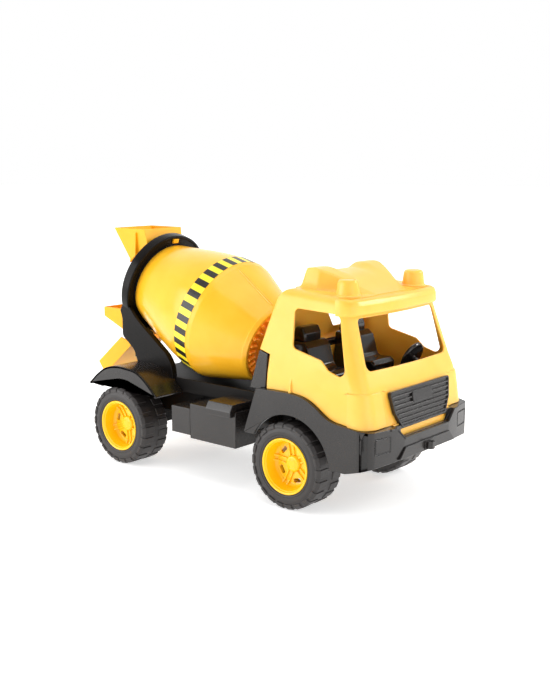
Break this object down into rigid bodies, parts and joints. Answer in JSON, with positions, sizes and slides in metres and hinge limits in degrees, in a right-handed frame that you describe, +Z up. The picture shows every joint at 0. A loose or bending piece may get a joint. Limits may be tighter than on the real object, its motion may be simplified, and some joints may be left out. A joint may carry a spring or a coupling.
{
  "type": "toy cement mixer truck",
  "caption": "Toy mixer truck with a turning drum on a cradle, filling hopper, swinging chute, open cab and freely rolling wheels.",
  "frame": {"origin": "on the ground under the middle of the truck's length and width", "axes": "+X towards the front bumper, +Y to the truck's left side, +Z up"},
  "size_m": [0.5344, 0.222, 0.297],
  "materials": {
    "yellow_plastic": "glossy moulded polypropylene",
    "drum_plastic": "glossy moulded polypropylene",
    "gear_plastic": "satin moulded polypropylene",
    "chute_plastic": "glossy moulded polypropylene",
    "wheel_yellow": "glossy moulded polypropylene",
    "black_plastic": "glossy moulded polypropylene",
    "tyre_plastic": "satin moulded polyethylene",
    "hazard_film": "printed vinyl film, black and yellow blocks",
    "axle_steel": "drawn steel",
    "zinc_steel": "zinc plated steel"
  },
  "bodies": {
    "truck": {"chassis_frame": "black_plastic", "chassis_screws": "zinc_steel", "front_fender": "black_plastic", "tow_eye": "black_plastic", "rear_mudguard_right": "black_plastic", "rear_mudguard_left": "black_plastic", "battery_box_right": "black_plastic", "battery_box_left": "black_plastic", "tool_box_right": "black_plastic", "tool_box_left": "black_plastic", "step_plate_right": "black_plastic", "step_plate_left": "black_plastic", "cab_shell": "yellow_plastic", "roof_deflector": "yellow_plastic", "beacon_right": "yellow_plastic", "beacon_left": "yellow_plastic", "grille": "black_plastic", "cab_bulkhead": "black_plastic", "cab_floor": "black_plastic", "seat_right": "black_plastic", "seat_left": "black_plastic", "dashboard": "black_plastic", "steering_wheel": "black_plastic", "drum_cradle": "black_plastic", "mouth_bush": "black_plastic", "drum_front_bearing": "black_plastic", "hopper": "yellow_plastic", "collector": "yellow_plastic", "chute_bracket": "black_plastic", "front_axle": "axle_steel", "rear_axle": "axle_steel", "axle_lock_washers": "zinc_steel"},
    "drum": {"drum_rear_shell": "drum_plastic", "drum_front_shell": "drum_plastic", "drum_nose_cap": "gear_plastic", "hazard_band": "hazard_film"},
    "chute": {"chute": "chute_plastic", "chute_pin": "black_plastic"},
    "front_right_wheel": {"front_right_tyre": "tyre_plastic", "front_right_rim": "wheel_yellow", "front_right_hub_cap": "wheel_yellow"},
    "front_left_wheel": {"front_left_tyre": "tyre_plastic", "front_left_rim": "wheel_yellow", "front_left_hub_cap": "wheel_yellow"},
    "rear_right_wheel": {"rear_right_tyre": "tyre_plastic", "rear_right_rim": "wheel_yellow", "rear_right_hub_cap": "wheel_yellow"},
    "rear_left_wheel": {"rear_left_tyre": "tyre_plastic", "rear_left_rim": "wheel_yellow", "rear_left_hub_cap": "wheel_yellow"}
  },
  "joints": [
    {"name": "drum_spin", "type": "hinge", "parent": "truck", "child": "drum", "pos_m": [-0.009, 0, 0.1744], "axis": [0.9511, 0, -0.309], "continuous": true},
    {"name": "chute_swing", "type": "hinge", "parent": "truck", "child": "chute", "pos_m": [-0.198, 0, 0.12], "axis": [0, 0, 1], "range_deg": [-35, 35]},
    {"name": "front_right_wheel_spin", "type": "hinge", "parent": "truck", "child": "front_right_wheel", "pos_m": [0.141, -0.089, 0.05], "axis": [0, 1, 0], "continuous": true},
    {"name": "front_left_wheel_spin", "type": "hinge", "parent": "truck", "child": "front_left_wheel", "pos_m": [0.141, 0.089, 0.05], "axis": [0, 1, 0], "continuous": true},
    {"name": "rear_right_wheel_spin", "type": "hinge", "parent": "truck", "child": "rear_right_wheel", "pos_m": [-0.1364, -0.089, 0.05], "axis": [0, 1, 0], "continuous": true},
    {"name": "rear_left_wheel_spin", "type": "hinge", "parent": "truck", "child": "rear_left_wheel", "pos_m": [-0.1364, 0.089, 0.05], "axis": [0, 1, 0], "continuous": true}
  ]
}
